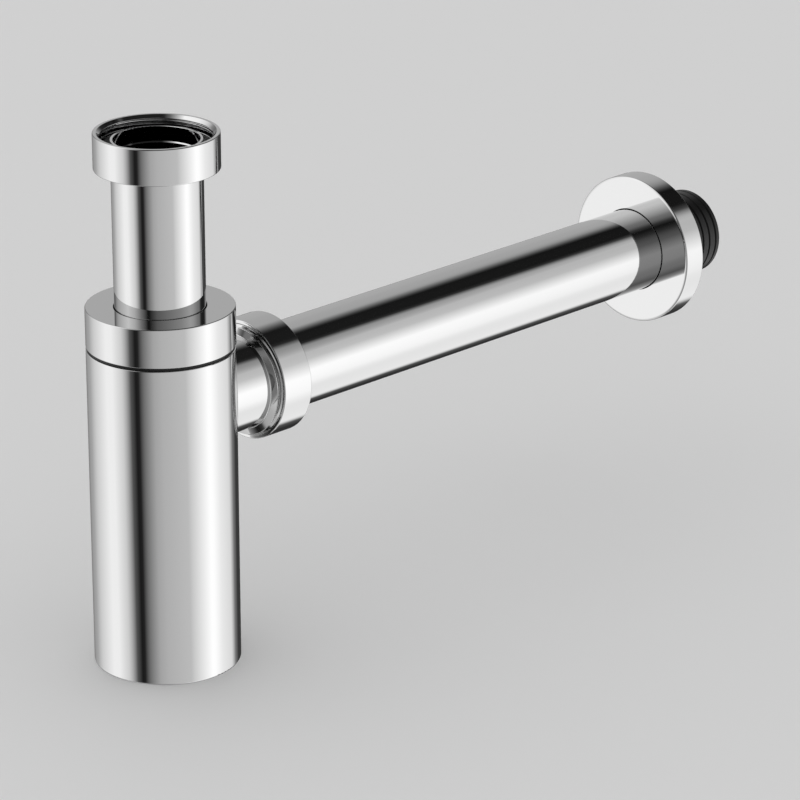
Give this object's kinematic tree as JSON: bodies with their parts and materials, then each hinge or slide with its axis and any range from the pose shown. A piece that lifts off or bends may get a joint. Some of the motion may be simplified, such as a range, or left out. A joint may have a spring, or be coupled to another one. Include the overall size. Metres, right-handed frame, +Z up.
{
  "type": "bottle trap",
  "caption": "Round chromed bottle trap for a washbasin, with a height-adjustable inlet pipe, a screw cap, a side outlet with coupling nut, a long wall pipe and a sliding round rose.",
  "frame": {"origin": "centre of the inlet seat, the top face of the washer that the basin waste lands on", "axes": "+Z up along the bottle and out of the inlet, +X along the outlet to the wall"},
  "size_m": [0.3046, 0.058, 0.1957],
  "materials": {
    "chrome": "polished",
    "black_rubber": "satin",
    "white_plastic": "satin"
  },
  "bodies": {
    "inlet_nut": {"inlet_nut": "chrome"},
    "inlet_tube": {"inlet_tube": "chrome", "inlet_washer": "black_rubber"},
    "tube_o_rings": {"upper_tube_o_ring": "black_rubber", "lower_tube_o_ring": "black_rubber"},
    "bottle_cap": {"bottle_cap": "chrome"},
    "cap_gasket": {"cap_gasket": "black_rubber"},
    "bottle": {"bottle": "chrome", "outlet_neck": "chrome", "outlet_cone_seal": "black_rubber"},
    "outlet_slip_ring": {"outlet_slip_ring": "white_plastic"},
    "outlet_nut": {"outlet_nut": "chrome"},
    "outlet_tube": {"outlet_tube": "chrome", "wall_seal": "black_rubber"},
    "wall_flange": {"wall_flange": "chrome", "flange_o_ring": "black_rubber"}
  },
  "joints": [
    {"name": "inlet_swivel", "type": "hinge", "parent": "inlet_nut", "child": "inlet_tube", "pos_m": [0, 0, 0], "axis": [0, 0, 1], "continuous": true},
    {"name": "height_adjust", "type": "slide", "parent": "inlet_tube", "child": "tube_o_rings", "axis": [0, 0, 1], "range_m": [-0.02, 0.012]},
    {"name": "outlet_swivel", "type": "hinge", "parent": "tube_o_rings", "child": "bottle_cap", "pos_m": [0, 0, -0.0637], "axis": [0, 0, 1], "continuous": true},
    {"name": "bottle_drop", "type": "slide", "parent": "bottle_cap", "child": "cap_gasket", "axis": [0, 0, -1], "range_m": [0, 0.008]},
    {"name": "bottle_turn", "type": "hinge", "parent": "cap_gasket", "child": "bottle", "pos_m": [0, 0, -0.0735], "axis": [0, 0, -1], "range_deg": [0, 1440]},
    {"name": "outlet_nut_shift", "type": "slide", "parent": "bottle", "child": "outlet_slip_ring", "axis": [1, 0, 0], "range_m": [0, 0.00924]},
    {"name": "outlet_nut_turn", "type": "hinge", "parent": "outlet_slip_ring", "child": "outlet_nut", "pos_m": [0.0449, 0, -0.0959], "axis": [1, 0, 0], "range_deg": [0, 1440]},
    {"name": "outlet_tube_draw", "type": "slide", "parent": "bottle", "child": "outlet_tube", "axis": [1, 0, 0], "range_m": [0, 0.004]},
    {"name": "flange_slide", "type": "slide", "parent": "outlet_tube", "child": "wall_flange", "axis": [-1, 0, 0], "range_m": [0, 0.18]}
  ],
  "couplings": [
    {"joint": "bottle_turn", "follows": "bottle_drop", "rad_per_m": 3141.6},
    {"joint": "outlet_nut_turn", "follows": "outlet_nut_shift", "rad_per_m": 2721.2}
  ]
}
